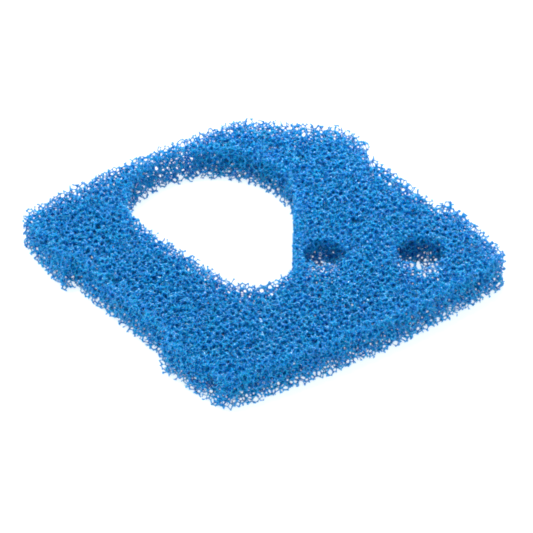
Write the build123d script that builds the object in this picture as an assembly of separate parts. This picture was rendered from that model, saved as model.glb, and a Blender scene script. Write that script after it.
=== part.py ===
from build123d import *
import math
import os

# Open-cell foam filter pad for a square canister filter.  It is one flat piece, die-cut straight
# through a sheet of foam, so the whole shape is one plan outline given one thickness.
# Millimetres, +Z up, the pad lies on its bottom face at z = 0.
# +X runs along one side of the pad; the origin ends up under the middle of the bounding box.

# The sheet.
THICKNESS = 25.0

# Outer outline: a square whose four sides bow outwards, to follow the wall of the canister.
CORNER_SPAN = 207.0          # from corner to corner along each side
BOW = 9.0                    # how far the middle of each side stands out past its corners
CORNER_RADIUS = 4.0          # the -X +Y and the +X -Y corners
FRONT_CORNER_RADIUS = 9.0    # the -X -Y corner

# Cut-off corner at +X +Y, a straight 45 degree cut that tells the fitter which way round it goes.
CUT_CORNER_LEG = 52.5        # measured along X and Y from the corner of the overall square

# Notches in the two X sides, cut back flat to the line between the corners.
LEFT_NOTCH_LOW_Y = -49.0
LEFT_NOTCH_HIGH_Y = 47.5
RIGHT_NOTCH_LOW_Y = -37.5
RIGHT_NOTCH_HIGH_Y = 38.5
NOTCH_OVERRUN = 20.0         # how far the notch cutter runs out past the side

# Large pear-shaped opening: a big circle and a small one, joined by their common tangents.
OPENING_BIG_CENTRE = (-0.8, 51.9)
OPENING_BIG_RADIUS = 50.1
OPENING_SMALL_CENTRE = (-20.7, -18.4)
OPENING_SMALL_RADIUS = 23.1

# Two round holes.
SMALL_HOLE_CENTRE = (18.8, -36.2)
SMALL_HOLE_RADIUS = 12.5
LARGE_HOLE_CENTRE = (65.5, -69.0)
LARGE_HOLE_RADIUS = 14.5

NODE = "filter_pad"


def bowed_square():
    """Face bounded by four arcs that meet at the corners of a square."""
    half = CORNER_SPAN / 2
    mid = half + BOW
    corners = [(-half, -half), (half, -half), (half, half), (-half, half)]
    middles = [(0, -mid), (mid, 0), (0, mid), (-mid, 0)]
    arcs = []
    for i in range(4):
        arcs.append(ThreePointArc(corners[i], middles[i], corners[(i + 1) % 4]))
    return make_face(arcs)


def cut_corner(outline):
    """Take the +X +Y corner off along a line where x + y is constant."""
    tip = CORNER_SPAN / 2 + BOW
    near = tip - CUT_CORNER_LEG
    cutter = make_face(Polyline((tip + 1, near - 1), (tip + 1, tip + 1), (near - 1, tip + 1), close=True))
    return outline - cutter


def notch(x_side, low_y, high_y):
    """Rectangle that cuts one X side back to the line between its corners."""
    centre_x = x_side * (CORNER_SPAN + NOTCH_OVERRUN) / 2
    centre_y = (low_y + high_y) / 2
    return Pos(centre_x, centre_y) * Rectangle(NOTCH_OVERRUN, high_y - low_y)


def two_circle_hull(big_centre, big_radius, small_centre, small_radius):
    """Face inside two circles and the two outer tangents that join them."""
    dx = small_centre[0] - big_centre[0]
    dy = small_centre[1] - big_centre[1]
    span = math.hypot(dx, dy)
    heading = math.atan2(dy, dx)
    lean = math.acos((big_radius - small_radius) / span)
    points = []
    for centre, radius, side in (
        (big_centre, big_radius, 1),
        (small_centre, small_radius, 1),
        (small_centre, small_radius, -1),
        (big_centre, big_radius, -1),
    ):
        angle = heading + side * lean
        points.append((centre[0] + radius * math.cos(angle), centre[1] + radius * math.sin(angle)))
    web = make_face(Polyline(*points, close=True))
    big = Pos(*big_centre) * Circle(big_radius)
    small = Pos(*small_centre) * Circle(small_radius)
    return web + big + small


def round_corner(outline, near_x, near_y, radius):
    """Round the outline's vertex nearest to a point."""
    target = Vector(near_x, near_y, 0)
    vertex = min(outline.vertices(), key=lambda v: (v.center() - target).length)
    return fillet(vertex, radius)


outline = bowed_square()
outline = cut_corner(outline)
half_span = CORNER_SPAN / 2
outline = round_corner(outline, -half_span, half_span, CORNER_RADIUS)
outline = round_corner(outline, half_span, -half_span, CORNER_RADIUS)
outline = round_corner(outline, -half_span, -half_span, FRONT_CORNER_RADIUS)
outline -= notch(-1, LEFT_NOTCH_LOW_Y, LEFT_NOTCH_HIGH_Y)
outline -= notch(1, RIGHT_NOTCH_LOW_Y, RIGHT_NOTCH_HIGH_Y)
outline -= two_circle_hull(
    OPENING_BIG_CENTRE, OPENING_BIG_RADIUS, OPENING_SMALL_CENTRE, OPENING_SMALL_RADIUS
)
outline -= Pos(*SMALL_HOLE_CENTRE) * Circle(SMALL_HOLE_RADIUS)
outline -= Pos(*LARGE_HOLE_CENTRE) * Circle(LARGE_HOLE_RADIUS)

pad = extrude(outline, THICKNESS)
box = pad.bounding_box()
middle = box.center()
pad = Pos(-middle.X, -middle.Y, 0) * pad
pad.label = NODE

os.makedirs("parts", exist_ok=True)
export_step(pad, f"parts/{NODE}.step")

print("size", [round(v, 3) for v in (box.size.X, box.size.Y, box.size.Z)])
print("volume_mm3", round(pad.volume, 1))
print("moved by", round(-middle.X, 4), round(-middle.Y, 4))
for name, centre in (
    ("small hole", SMALL_HOLE_CENTRE),
    ("large hole", LARGE_HOLE_CENTRE),
    ("opening big circle", OPENING_BIG_CENTRE),
    ("opening small circle", OPENING_SMALL_CENTRE),
):
    print(name, round(centre[0] - middle.X, 4), round(centre[1] - middle.Y, 4))
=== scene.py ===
import itertools
import math

import bpy
import numpy as np
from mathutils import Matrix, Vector, noise
from mathutils.kdtree import KDTree


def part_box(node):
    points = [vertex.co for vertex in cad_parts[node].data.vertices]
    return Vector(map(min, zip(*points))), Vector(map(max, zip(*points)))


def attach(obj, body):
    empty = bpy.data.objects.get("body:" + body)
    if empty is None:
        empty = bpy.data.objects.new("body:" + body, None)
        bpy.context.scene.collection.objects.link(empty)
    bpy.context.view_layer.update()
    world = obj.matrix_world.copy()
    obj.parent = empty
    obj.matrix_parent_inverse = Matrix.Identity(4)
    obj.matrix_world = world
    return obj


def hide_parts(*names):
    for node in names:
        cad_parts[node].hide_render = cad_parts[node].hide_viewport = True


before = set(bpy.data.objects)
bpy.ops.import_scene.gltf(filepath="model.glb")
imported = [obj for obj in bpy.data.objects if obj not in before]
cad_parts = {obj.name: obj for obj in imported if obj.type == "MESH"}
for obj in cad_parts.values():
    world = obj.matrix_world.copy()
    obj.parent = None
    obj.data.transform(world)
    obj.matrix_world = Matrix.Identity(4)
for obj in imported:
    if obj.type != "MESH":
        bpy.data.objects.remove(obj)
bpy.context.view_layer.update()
pad_low, pad_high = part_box("filter_pad")

# ---------------------------------------------------------------------------------------------
# The pad is reticulated foam: an open network of struts that run along the edges of packed
# cells, four struts to a joint.  The network is grown here from random cell centres, cut to the
# CAD node's outline, and skinned with three-sided struts that are thin in the middle and swell
# into their joints.  It is made as a grid of tiles, each a closed mesh.
#
# Lengths inside the generator are millimetres.  A "corner" of the cells is where four of them
# meet, and becomes a joint.  A joint's four "slots" are its four struts: slot k is the strut
# that leaves out cell k of the four.
# ---------------------------------------------------------------------------------------------

NODE = "filter_pad"
MM = 0.001
SEED = 11

# Cells.
CELL_SPACING = 4.2           # centre to centre of neighbouring cells
VOLUME_SHARE = 0.844         # a cell's volume as a share of its spacing cubed
CELL_VOLUME = VOLUME_SHARE * CELL_SPACING ** 3
MARGIN = 1.6 * CELL_SPACING  # cells grown outside the pad, so its cut faces are ordinary foam
CELL_REACH = 0.515 * CELL_SPACING  # two average cells nearer than twice this push apart
SIZE_SPREAD = 0.30           # how much that reach differs from cell to cell, as a share
SPREAD_STEPS = 6             # rounds of pushing
SPREAD_PUSH = 0.5            # share of an overlap that one cell takes up in a round
SPREAD_NEIGHBOURS = 13       # nearest cells that push on a cell
CORNER_NEIGHBOURS = 26       # nearest cells, which are the ones that can share its corners
CORNER_REACH = 1.05 * CELL_SPACING  # no corner is further than this from its cells
CORNER_BATCH = 250           # cells worked on at once, which bounds the memory used
RELAX_STEPS = 2
RELAX_SHARE = 0.30           # how far a joint moves towards the middle of its neighbours

# Struts.
JOINT_RADIUS = 0.56          # how far a joint's six corners stand out
JOINT_SIZES = (0.88, 1.12)   # random range of that, as a share
JOINT_LIMIT = 0.75           # largest joint, as a share of its shortest strut
WAIST_RADIUS = 0.36          # how far a strut's three edges stand out at its middle
WAIST_SIZES = (0.85, 1.15)   # random range of that, as a share
WAIST_LIMIT = 0.8            # widest waist, as a share of the smaller joint
THICKNESS_SPREAD = 0.34      # how much struts thicken and thin from place to place
THICKNESS_PATCH = 5.5        # how far apart thick and thin places are
NOISE_REACH = 0.5            # the noise seldom goes further from zero than this
CUT_SWELL = 0.15             # struts at a cut face are this much thicker, from fraying
CUT_SWELL_DEPTH = 3.0        # and that fades over about this depth

# Struts that the cut goes through, which are left as stubs.
KEEP_DEPTH = 0.12            # joints nearer than this to a cut face are cut away
CUT_STEPS = 3                # rounds of looking for where a strut meets the cut face
CUT_STEEPNESS = 0.3          # least change in depth along a strut that those rounds divide by
STUB_LEAST = 0.02            # shortest stub, as a share of its strut
STUB_SHARES = (0.15, 0.75)   # random range of the longest stub left, as a share of its strut
STUB_STANDS_OUT = 0.62       # a stub shorter than this share of its joint's radius is left off
STUB_SHOULDER = 0.82         # end radius of the very shortest stub, as a share of its joint's

# Tiles.
TILES_X = 6
TILES_Y = 5

# Guards against dividing by nothing.
TINY = 1e-9
TINY_GAP = 1e-6
TINY_DEPTH = 1e-3
TIE_SLACK = 1e-7             # a corner's four cells are equally near, give or take this
FACE_SLACK = 0.01            # how level a facet of the CAD's bottom face is


# ------------------------------------------------------------------ the pad's outline
def outline_segments(node):
    """Edges round the CAD node's bottom face, as pairs of points in mm."""
    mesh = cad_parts[node].data
    coords = np.empty(len(mesh.vertices) * 3)
    mesh.vertices.foreach_get("co", coords)
    coords = coords.reshape(-1, 3) / MM
    low = coords[:, 2].min()
    seen = {}
    for polygon in mesh.polygons:
        corners = list(polygon.vertices)
        if max(coords[c][2] for c in corners) > low + FACE_SLACK:
            continue
        plan = [tuple(np.round(coords[c][:2], 4)) for c in corners]
        for ends in zip(plan, plan[1:] + plan[:1]):
            key = tuple(sorted(ends))
            seen[key] = seen.get(key, 0) + 1
    # An edge between two facets of the face is seen twice, and an edge of the outline once.
    return np.array([key for key, times in seen.items() if times == 1])


SEGMENTS = outline_segments(NODE)
LOW_Z = pad_low[2] / MM
HIGH_Z = pad_high[2] / MM


def outline_distance(xy):
    """Signed distance to the outline in plan, negative inside the foam."""
    best = np.full(len(xy), np.inf)
    inside = np.zeros(len(xy), bool)
    for (ax, ay), (bx, by) in SEGMENTS:
        ex, ey = bx - ax, by - ay
        wx, wy = xy[:, 0] - ax, xy[:, 1] - ay
        along = np.clip((wx * ex + wy * ey) / (ex * ex + ey * ey), 0, 1)
        best = np.minimum(best, (wx - along * ex) ** 2 + (wy - along * ey) ** 2)
        if ay != by:
            level = (ay > xy[:, 1]) != (by > xy[:, 1])
            inside ^= level & (xy[:, 0] < ex * (xy[:, 1] - ay) / ey + ax)
    return np.where(inside, -1, 1) * np.sqrt(best)


def pad_distance(points):
    """Signed distance to the pad's surface, negative inside."""
    z = points[:, 2]
    return np.maximum(outline_distance(points[:, :2]), np.maximum(LOW_Z - z, z - HIGH_Z))


# ------------------------------------------------------------------ cells
def unit(v):
    return v / np.maximum(np.linalg.norm(v, axis=-1, keepdims=True), TINY)


def nearest(points, wanted, count):
    """For each wanted index, the indices of its nearest points, nearest first."""
    tree = KDTree(len(points))
    for i, p in enumerate(points):
        tree.insert(p, i)
    tree.balance()
    found = np.empty((len(wanted), count), int)
    for row, i in enumerate(wanted):
        found[row] = [hit[1] for hit in tree.find_n(points[i], count + 1)[1:]]
    return found


def cell_centres():
    """Random points pushed apart until they are about one cell apart, and how many matter.

    Cells differ in size.  Those that can touch the pad come first, and the number is theirs.
    """
    rng = np.random.RandomState(SEED)
    low = np.array(pad_low) / MM - MARGIN
    high = np.array(pad_high) / MM + MARGIN
    count = int(np.prod(high - low) / CELL_VOLUME)
    points = rng.uniform(low, high, (count, 3))
    reach = CELL_REACH * (1 + SIZE_SPREAD * rng.uniform(-1, 1, count))
    everyone = np.arange(count)
    for _ in range(SPREAD_STEPS):
        near = nearest(points, everyone, SPREAD_NEIGHBOURS)
        gap = points[:, None, :] - points[near]
        length = np.maximum(np.linalg.norm(gap, axis=2), TINY_GAP)
        push = np.maximum(reach[:, None] + reach[near] - length, 0) / length
        points = points + SPREAD_PUSH * (gap * push[:, :, None]).sum(axis=1)
        points = np.clip(points, low, high)
    touching = pad_distance(points) < CELL_SPACING
    return np.concatenate([points[touching], points[~touching]]), int(touching.sum())


def cell_corners(points, active):
    """Points where four cells meet, with the four cells' numbers in order.

    Each is found once, from its lowest-numbered cell: it is as far from three of that cell's
    neighbours as from the cell itself, and no other neighbour is nearer.
    """
    near = nearest(points, np.arange(active), CORNER_NEIGHBOURS)
    later = near > np.arange(active)[:, None]
    order = np.argsort(~later, axis=1, kind="stable")
    near = np.take_along_axis(near, order, axis=1)
    later_count = later.sum(axis=1)
    by_count = np.argsort(-later_count, kind="stable")
    all_quads, all_spots = [], []
    for start in range(0, active, CORNER_BATCH):
        own = by_count[start:start + CORNER_BATCH]
        most = later_count[own].max()
        if most < 3:
            break
        triples = np.array(list(itertools.combinations(range(most), 3)))
        ring = near[own]
        arms = points[ring] - points[own][:, None, :]
        half = 0.5 * (arms ** 2).sum(axis=2)
        # Where the planes halfway to three neighbours cross, by Cramer's rule.
        a, b, c = (arms[:, triples[:, t]] for t in range(3))
        half_a, half_b, half_c = (half[:, triples[:, t]][..., None] for t in range(3))
        b_by_c = np.cross(b, c)
        spot = half_a * b_by_c + half_b * np.cross(c, a) + half_c * np.cross(a, b)
        volume = (a * b_by_c).sum(axis=2)
        volume = np.where(np.abs(volume) < TINY, TINY, volume)
        spot /= volume[..., None]
        valid = triples[:, 2][None, :] < later_count[own][:, None]
        row, col = np.nonzero(((spot ** 2).sum(axis=2) < CORNER_REACH ** 2) & valid)
        spot = spot[row, col]
        reach = np.einsum("nkd,nd->nk", arms[row], spot)
        clear = (reach <= half[row] + TIE_SLACK).all(axis=1)
        row, col, spot = row[clear], col[clear], spot[clear]
        quad = np.column_stack([own[row], ring[row[:, None], triples[col]]])
        all_quads.append(np.sort(quad, axis=1))
        all_spots.append(spot + points[own[row]])
    return np.concatenate(all_quads), np.concatenate(all_spots)


# ------------------------------------------------------------------ the network
def strut_ends(quads):
    """Pairs of joints that share three cells, and which slot of each the strut is in."""
    count = len(quads)
    keys, owner, slot = [], [], []
    for k in range(4):
        rest = [c for c in range(4) if c != k]
        keys.append(quads[:, rest])
        owner.append(np.arange(count))
        slot.append(np.full(count, k))
    keys = np.concatenate(keys)
    owner = np.concatenate(owner)
    slot = np.concatenate(slot)
    order = np.lexsort((keys[:, 2], keys[:, 1], keys[:, 0]))
    keys, owner, slot = keys[order], owner[order], slot[order]
    same = (keys[1:] == keys[:-1]).all(axis=1)
    alone = np.append(True, ~same[:-1]) & np.append(~same[1:], True)
    i = np.nonzero(same & alone)[0]
    return owner[i], slot[i], owner[i + 1], slot[i + 1]


def relax(spots, n0, n1):
    """Even the struts out towards equal angles, as surface tension does."""
    spots = spots.copy()
    for _ in range(RELAX_STEPS):
        total = np.zeros_like(spots)
        count = np.zeros(len(spots))
        np.add.at(total, n0, spots[n1])
        np.add.at(total, n1, spots[n0])
        np.add.at(count, n0, 1)
        np.add.at(count, n1, 1)
        whole = count == 4
        spots[whole] += RELAX_SHARE * (total[whole] / 4 - spots[whole])
    return spots


def largest_group(count, n0, n1, keep):
    """Mark the joints in the largest connected group, so that no bit of foam floats free."""
    label = np.arange(count)
    live = keep[n0] & keep[n1]
    a, b = n0[live], n1[live]
    while True:
        low = np.minimum(label[a], label[b])
        before = label.copy()
        np.minimum.at(label, a, low)
        np.minimum.at(label, b, low)
        label = label[label]
        if (label == before).all():
            break
    winner = np.bincount(label[keep]).argmax()
    return keep & (label == winner)


def grow_network():
    """Joints and the struts between them, as a dictionary of arrays, in mm."""
    centres, active = cell_centres()
    quads, spots = cell_corners(centres, active)
    n0, k0, n1, k1 = strut_ends(quads)
    spots = relax(spots, n0, n1)
    c = centres[quads]
    normal = np.cross(c[:, 1] - c[:, 0], c[:, 2] - c[:, 0])
    turn = np.sign(np.einsum("nd,nd->n", normal, c[:, 3] - c[:, 0]))
    depth = pad_distance(spots)
    count = len(spots)
    degree = np.bincount(n0, minlength=count) + np.bincount(n1, minlength=count)
    keep = (depth < -KEEP_DEPTH) & (degree == 4)
    keep = largest_group(count, n0, n1, keep)
    neighbour = np.full((count, 4), -1)
    neighbour[n0, k0] = n1
    neighbour[n1, k1] = n0
    back = np.zeros((count, 4), int)  # the slot that the strut in slot k has at its other end
    back[n0, k0] = k1
    back[n1, k1] = k0
    return dict(spots=spots, depth=depth, keep=keep, neighbour=neighbour, back=back, turn=turn)


# ------------------------------------------------------------------ the skin
# A joint is an octahedron.  Each of its six corners lies between two of its four struts.
PAIRS = list(itertools.combinations(range(4), 2))
PAIR_INDEX = np.zeros((4, 4), int)
for _number, (_k, _l) in enumerate(PAIRS):
    PAIR_INDEX[_k, _l] = PAIR_INDEX[_l, _k] = _number


def corners_facing(cell):
    """The three joint corners that face a cell."""
    others = [k for k in range(4) if k != cell]
    return [PAIR_INDEX[pair] for pair in itertools.combinations(others, 2)][::-1]


# The three joint corners round strut k, in the order of the strut's three cells.
RING = np.array([[PAIR_INDEX[k, l] for l in range(4) if l != k] for k in range(4)])
FACING = np.array([corners_facing(cell) for cell in range(4)])


def alternate(slot):
    """1 for even slots and -1 for odd ones: which way round a slot's three cells go."""
    return np.where(slot % 2 == 0, 1, -1)


def shape_joints(net):
    """Add each joint's corners and size, and the directions and lengths of its struts."""
    rng = np.random.RandomState(SEED + 1)
    spots, neighbour = net["spots"], net["neighbour"]
    arms = spots[np.maximum(neighbour, 0)] - spots[:, None, :]
    length = np.linalg.norm(arms, axis=2)
    arms = unit(arms)
    shortest = np.where(neighbour >= 0, length, np.inf).min(axis=1)
    patch = np.array([noise.noise(Vector(spot / THICKNESS_PATCH)) for spot in spots])
    thickness = 1 + THICKNESS_SPREAD * np.clip(patch / NOISE_REACH, -1, 1)
    thickness *= 1 + CUT_SWELL * np.exp(np.minimum(net["depth"], 0) / CUT_SWELL_DEPTH)
    radius = JOINT_RADIUS * thickness * rng.uniform(*JOINT_SIZES, len(spots))
    radius = np.minimum(radius, JOINT_LIMIT * shortest)
    corners = np.empty((len(spots), 6, 3))
    for number, (k, l) in enumerate(PAIRS):
        corners[:, number] = spots + radius[:, None] * unit(arms[:, k] + arms[:, l])
    net.update(corners=corners, arms=arms, length=length, radius=radius, thickness=thickness)


def across(side, axis):
    """Unit vectors of the parts of side that are square to each strut's axis."""
    return unit(side - (side * axis[:, None]).sum(axis=2, keepdims=True) * axis[:, None])


def whole_struts(net, rng):
    """Struts with a kept joint at each end, listed once, from their lower-numbered joint."""
    joint, slot, other = net["directed"]
    pick = net["keep"][other] & (joint < other)
    a, slot_a, b = joint[pick], slot[pick], other[pick]
    slot_b = net["back"][a, slot_a]
    spots, corners, radius, thickness = (net[k] for k in ("spots", "corners", "radius", "thickness"))
    ring_a = corners[a[:, None], RING[slot_a]]
    ring_b = corners[b[:, None], RING[slot_b]]
    side = unit(ring_a - spots[a][:, None]) + unit(ring_b - spots[b][:, None])
    side = across(side, net["arms"][a, slot_a])
    waist = WAIST_RADIUS * 0.5 * (thickness[a] + thickness[b]) * rng.uniform(*WAIST_SIZES, len(a))
    waist = np.minimum(waist, WAIST_LIMIT * np.minimum(radius[a], radius[b]))
    middle = 0.5 * (spots[a] + spots[b])[:, None] + waist[:, None, None] * side
    return dict(a=a, slot_a=slot_a, b=b, slot_b=slot_b, middle=middle,
                spin=net["turn"][a] * alternate(slot_a))


def cut_struts(net, rng):
    """Struts that the cut goes through, as stubs on their kept joint."""
    joint, slot, other = net["directed"]
    pick = ~net["keep"][other]
    joint, slot, other = joint[pick], slot[pick], other[pick]
    spots, radius = net["spots"], net["radius"]
    start, run = spots[joint], spots[other] - spots[joint]
    depth_in = net["depth"][joint]
    depth_out = np.maximum(net["depth"][other], TINY_DEPTH)
    # How far along its strut the cut is, from 0 at the kept joint to 1 at the other.
    cut = depth_in / (depth_in - depth_out)
    for _ in range(CUT_STEPS):
        missed = pad_distance(start + run * cut[:, None])
        cut = cut - missed / np.maximum(depth_out - depth_in, CUT_STEEPNESS)
        cut = np.clip(cut, STUB_LEAST, 1.0)
    cut = np.minimum(cut, rng.uniform(*STUB_SHARES, len(cut)))
    reach = cut * net["length"][joint, slot]
    taper = np.clip(reach / (0.5 * net["length"][joint, slot]), 0, 1)
    tip_radius = radius[joint] * (1 - taper) * STUB_SHOULDER
    tip_radius = tip_radius + WAIST_RADIUS * net["thickness"][joint] * taper
    ring = net["corners"][joint[:, None], RING[slot]]
    side = across(ring - start[:, None], net["arms"][joint, slot])
    tip = (start + run * cut[:, None])[:, None] + tip_radius[:, None, None] * side
    stays = reach > STUB_STANDS_OUT * radius[joint]
    joint, slot = joint[stays], slot[stays]
    return dict(joint=joint, slot=slot, tip=tip[stays], spin=net["turn"][joint] * alternate(slot))


def foam_network():
    """The kept network with its whole struts, its stubs, and the tile that each joint is in."""
    net = grow_network()
    shape_joints(net)
    low, high = np.array(pad_low) / MM, np.array(pad_high) / MM
    place = (net["spots"] - low) / (high - low)
    across_x = np.clip((place[:, 0] * TILES_X).astype(int), 0, TILES_X - 1)
    across_y = np.clip((place[:, 1] * TILES_Y).astype(int), 0, TILES_Y - 1)
    net["tile"] = across_x * TILES_Y + across_y
    joint, slot = np.nonzero(net["keep"][:, None] & (net["neighbour"] >= 0))
    net["directed"] = joint, slot, net["neighbour"][joint, slot]
    rng = np.random.RandomState(SEED + 2)
    net["whole"] = whole_struts(net, rng)
    net["stubs"] = cut_struts(net, rng)
    return net


# A joint's faces wind the opposite way to the struts that leave it.
JOINT_TURN = -1


def wound(faces, sign):
    """The faces, turned round where the sign is negative."""
    return np.where((sign > 0)[:, None], faces, faces[:, ::-1])


def tube(lower, upper, sign):
    """Quads between two rings of three points."""
    sides = []
    for t in range(3):
        u = (t + 1) % 3
        sides.append(wound(np.column_stack([lower[:, t], lower[:, u], upper[:, u], upper[:, t]]), sign))
    return sides


def tile_mesh(net, number):
    """Closed mesh of one tile: its points in mm, joint faces, strut sides and flat caps."""
    own = np.nonzero(net["keep"] & (net["tile"] == number))[0]
    if not len(own):
        return None
    where = np.full(len(net["keep"]), -1)
    where[own] = np.arange(len(own))
    corners, turn = net["corners"], net["turn"][own]
    points = [corners[own].reshape(-1, 3)]
    base = len(own) * 6
    tris, quads, caps = [], [], []
    opened = np.zeros((len(own), 4), bool)  # slots that have a strut or a stub
    for cell in range(4):
        faces = where[own][:, None] * 6 + FACING[cell]
        tris.append(wound(faces, turn * alternate(cell) * JOINT_TURN))

    # Whole struts whose first joint is in this tile.  One that runs on into the next tile is
    # closed by a cap there, where it meets the next tile's joint.
    whole = net["whole"]
    use = np.nonzero(where[whole["a"]] >= 0)[0]
    a, slot_a, b, slot_b, spin = (whole[k][use] for k in ("a", "slot_a", "b", "slot_b", "spin"))
    lower = where[a][:, None] * 6 + RING[slot_a]
    middle = base + np.arange(len(use) * 3).reshape(-1, 3)
    points.append(whole["middle"][use].reshape(-1, 3))
    base += len(use) * 3
    opened[where[a], slot_a] = True
    here = where[b] >= 0
    away = ~here
    opened[where[b[here]], slot_b[here]] = True
    upper = np.empty((len(use), 3), int)
    upper[here] = where[b[here]][:, None] * 6 + RING[slot_b[here]]
    upper[away] = base + np.arange(away.sum() * 3).reshape(-1, 3)
    points.append(corners[b[away][:, None], RING[slot_b[away]]].reshape(-1, 3))
    base += away.sum() * 3
    quads += tube(lower, middle, spin)
    quads += tube(middle, upper, spin)
    caps.append(wound(upper[away], spin[away]))

    # Stubs.
    stubs = net["stubs"]
    use = np.nonzero(where[stubs["joint"]] >= 0)[0]
    joint, slot, spin = (stubs[k][use] for k in ("joint", "slot", "spin"))
    lower = where[joint][:, None] * 6 + RING[slot]
    tip = base + np.arange(len(use) * 3).reshape(-1, 3)
    points.append(stubs["tip"][use].reshape(-1, 3))
    opened[where[joint], slot] = True
    quads += tube(lower, tip, spin)
    caps.append(wound(tip, spin))

    # Slots with nothing on them.
    row, slot = np.nonzero(~opened)
    caps.append(wound(row[:, None] * 6 + RING[slot], turn[row] * alternate(slot)))
    return np.concatenate(points), np.concatenate(tris), np.concatenate(quads), np.concatenate(caps)


# ------------------------------------------------------------------ materials
# Light passes a little way into the thin blue struts, and blue light goes furthest.
GLOSS = 0.65
GLOW_WEIGHT = 0.5
GLOW_RADIUS = (0.2, 0.6, 1.0)
GLOW_SCALE = 0.6 * MM

# The colour shifts over patches of about 7 mm, and the gloss over patches of about 2.5 mm.
DEEP_BLUE = (0.001, 0.29, 0.78, 1)
BRIGHT_BLUE = (0.001, 0.42, 0.84, 1)
MOTTLE_PER_METRE = 150.0
MOTTLE_DETAIL = 3.0
WEAR_PER_METRE = 400.0
WEAR_DETAIL = 2.0
NOISE_LOW = 0.3              # the shifts run between these two levels of the noise
NOISE_HIGH = 0.7
SMOOTHEST = 0.17
ROUGHEST = 0.34

# The floor gives off light of its own, so it stays white where it is seen through the foam.
FLOOR_HALF_SIZE = 3.0
FLOOR_COLOUR = (0.40, 0.40, 0.40, 1)
FLOOR_ROUGHNESS = 0.9
FLOOR_GLOSS = 0.1
FLOOR_GLOW = (0.86, 0.95, 1, 1)
FLOOR_GLOW_STRENGTH = 0.90


def add_noise(tree, coords, per_metre, detail):
    texture = tree.nodes.new("ShaderNodeTexNoise")
    texture.inputs["Scale"].default_value = per_metre
    texture.inputs["Detail"].default_value = detail
    tree.links.new(coords.outputs["Object"], texture.inputs["Vector"])
    return texture.outputs["Fac"]


def foam_material():
    material = bpy.data.materials.new("foam_blue")
    material.use_nodes = True
    tree = material.node_tree
    shader = tree.nodes["Principled BSDF"]
    shader.inputs["Specular IOR Level"].default_value = GLOSS
    shader.inputs["Subsurface Weight"].default_value = GLOW_WEIGHT
    shader.inputs["Subsurface Radius"].default_value = GLOW_RADIUS
    shader.inputs["Subsurface Scale"].default_value = GLOW_SCALE
    coords = tree.nodes.new("ShaderNodeTexCoord")

    blues = tree.nodes.new("ShaderNodeValToRGB")
    deep, bright = blues.color_ramp.elements
    deep.position = NOISE_LOW
    deep.color = DEEP_BLUE
    bright.position = NOISE_HIGH
    bright.color = BRIGHT_BLUE
    mottle = add_noise(tree, coords, MOTTLE_PER_METRE, MOTTLE_DETAIL)
    tree.links.new(mottle, blues.inputs["Fac"])
    tree.links.new(blues.outputs["Color"], shader.inputs["Base Color"])

    wear = tree.nodes.new("ShaderNodeMapRange")
    wear.inputs["From Min"].default_value = NOISE_LOW
    wear.inputs["From Max"].default_value = NOISE_HIGH
    wear.inputs["To Min"].default_value = SMOOTHEST
    wear.inputs["To Max"].default_value = ROUGHEST
    tree.links.new(add_noise(tree, coords, WEAR_PER_METRE, WEAR_DETAIL), wear.inputs["Value"])
    tree.links.new(wear.outputs["Result"], shader.inputs["Roughness"])
    return material


def floor_material():
    material = bpy.data.materials.new("floor_white")
    material.use_nodes = True
    shader = material.node_tree.nodes["Principled BSDF"]
    shader.inputs["Base Color"].default_value = FLOOR_COLOUR
    shader.inputs["Roughness"].default_value = FLOOR_ROUGHNESS
    shader.inputs["Specular IOR Level"].default_value = FLOOR_GLOSS
    shader.inputs["Emission Color"].default_value = FLOOR_GLOW
    shader.inputs["Emission Strength"].default_value = FLOOR_GLOW_STRENGTH
    return material


# ------------------------------------------------------------------ pieces
def link(thing):
    bpy.context.scene.collection.objects.link(thing)
    return thing


def add_tile(name, points, tris, quads, caps, material):
    points = points.copy()
    points[:, 2] = np.maximum(points[:, 2], LOW_Z)  # the pad lies flat on its cut underside
    mesh = bpy.data.meshes.new(name)
    mesh.vertices.add(len(points))
    mesh.vertices.foreach_set("co", (points * MM).ravel())
    loops = np.concatenate([tris.ravel(), quads.ravel(), caps.ravel()])
    sizes = np.concatenate([np.full(len(faces), faces.shape[1]) for faces in (tris, quads, caps)])
    starts = np.concatenate([[0], np.cumsum(sizes)[:-1]])
    mesh.loops.add(len(loops))
    mesh.loops.foreach_set("vertex_index", loops)
    mesh.polygons.add(len(sizes))
    mesh.polygons.foreach_set("loop_start", starts)
    mesh.polygons.foreach_set("loop_total", sizes)
    smooth = np.ones(len(sizes), bool)
    smooth[len(tris) + len(quads):] = False
    mesh.polygons.foreach_set("use_smooth", smooth)
    mesh.update(calc_edges=True)
    plan = points[:, :2]
    low = plan.min(axis=0)
    span = plan.max(axis=0) - low
    uv = mesh.uv_layers.new(name="OFBake")
    uv.data.foreach_set("uv", ((plan - low) / span)[loops].ravel())
    mesh.materials.append(material)
    piece = link(bpy.data.objects.new(name, mesh))
    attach(piece, "root")
    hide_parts(NODE)


def add_foam():
    net = foam_network()
    material = foam_material()
    for number in range(TILES_X * TILES_Y):
        built = tile_mesh(net, number)
        if built is None:  # the tile lies wholly inside the large opening
            continue
        name = f"foam_{number // TILES_Y + 1}_{number % TILES_Y + 1}"
        add_tile(name, *built, material)


def add_floor():
    half = FLOOR_HALF_SIZE
    mesh = bpy.data.meshes.new("floor")
    corners = [(-half, -half, 0), (half, -half, 0), (half, half, 0), (-half, half, 0)]
    mesh.from_pydata(corners, [], [(0, 1, 2, 3)])
    mesh.materials.append(floor_material())
    floor = link(bpy.data.objects.new("floor", mesh))
    floor.visible_diffuse = False  # its glow doesn't light the foam
    floor.visible_glossy = False


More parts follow.
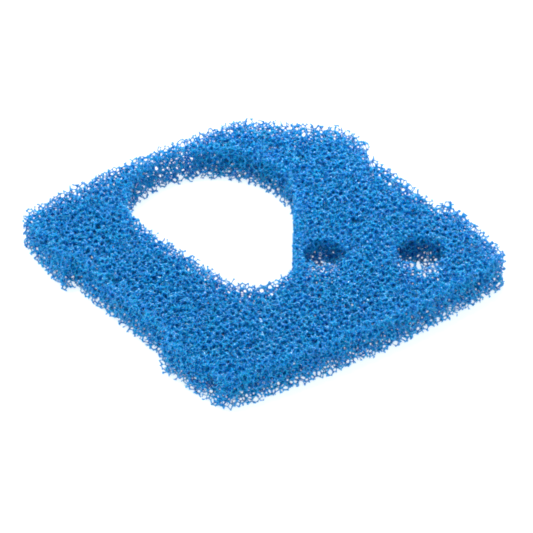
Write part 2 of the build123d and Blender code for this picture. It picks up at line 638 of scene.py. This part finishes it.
# ------------------------------------------------------------------ camera and light
CAMERA_AZIMUTH = -36.51      # degrees round from the -Y side, negative towards -X
CAMERA_ELEVATION = 35.20
CAMERA_DISTANCE = 2.368
CAMERA_TARGET = (0.0017, -0.00116, -0.0002)
CAMERA_LENS = 267.5
CAMERA_SENSOR = 36.0
CAMERA_CLIP = 20.0

# The soft tent round the pad: how bright it is from straight below (0) to straight above (1).
SKY = ((0.001, 0.15), (0.30, 0.30), (0.40, 1.0), (0.60, 1.0), (0.72, 0.24), (0.999, 0.24))
SKY_STRENGTH = 2.24

# Square lamps that face the pad: name, place, size in metres and power in watts.
LAMPS = (
    ("key", (-0.3, 0.2, 1.3), 0.16, 6.8),
    ("side", (0.40, 0.26, 0.42), 0.12, 2.3),
)

SOFT_PIXELS = 2.1            # how many pixels wide each sample spreads


def add_camera():
    a = math.radians(CAMERA_AZIMUTH)
    e = math.radians(CAMERA_ELEVATION)
    back = Vector((math.sin(a) * math.cos(e), -math.cos(a) * math.cos(e), math.sin(e)))
    data = bpy.data.cameras.new("camera")
    data.lens = CAMERA_LENS
    data.sensor_width = CAMERA_SENSOR
    data.clip_end = CAMERA_CLIP
    camera = link(bpy.data.objects.new("camera", data))
    camera.location = Vector(CAMERA_TARGET) + CAMERA_DISTANCE * back
    camera.rotation_euler = back.to_track_quat("Z", "Y").to_euler()
    bpy.context.scene.camera = camera


def add_lamp(name, location, size, power):
    data = bpy.data.lights.new(name, "AREA")
    data.shape = "SQUARE"
    data.size = size
    data.energy = power
    lamp = link(bpy.data.objects.new(name, data))
    lamp.location = location
    lamp.rotation_euler = Vector(location).to_track_quat("Z", "Y").to_euler()


def add_sky():
    world = bpy.data.worlds.new("studio")
    world.use_nodes = True
    tree = world.node_tree
    background = tree.nodes["Background"]
    background.inputs["Strength"].default_value = SKY_STRENGTH
    direction = tree.nodes.new("ShaderNodeTexCoord")
    height = tree.nodes.new("ShaderNodeSeparateXYZ")
    level = tree.nodes.new("ShaderNodeMapRange")
    level.inputs["From Min"].default_value = -1.0
    sky = tree.nodes.new("ShaderNodeValToRGB")
    stops = sky.color_ramp.elements
    for place, brightness in SKY:
        stops.new(place).color = (brightness, brightness, brightness, 1)
    # The two stops that a new ramp starts with, at its ends.
    stops.remove(stops[0])
    stops.remove(stops[-1])
    tree.links.new(direction.outputs["Generated"], height.inputs["Vector"])
    tree.links.new(height.outputs["Z"], level.inputs["Value"])
    tree.links.new(level.outputs["Result"], sky.inputs["Fac"])
    tree.links.new(sky.outputs["Color"], background.inputs["Color"])
    bpy.context.scene.world = world


add_camera()
add_sky()
for lamp in LAMPS:
    add_lamp(*lamp)
bpy.context.scene.view_settings.view_transform = "Standard"
bpy.context.scene.cycles.filter_width = SOFT_PIXELS
add_floor()
add_foam()
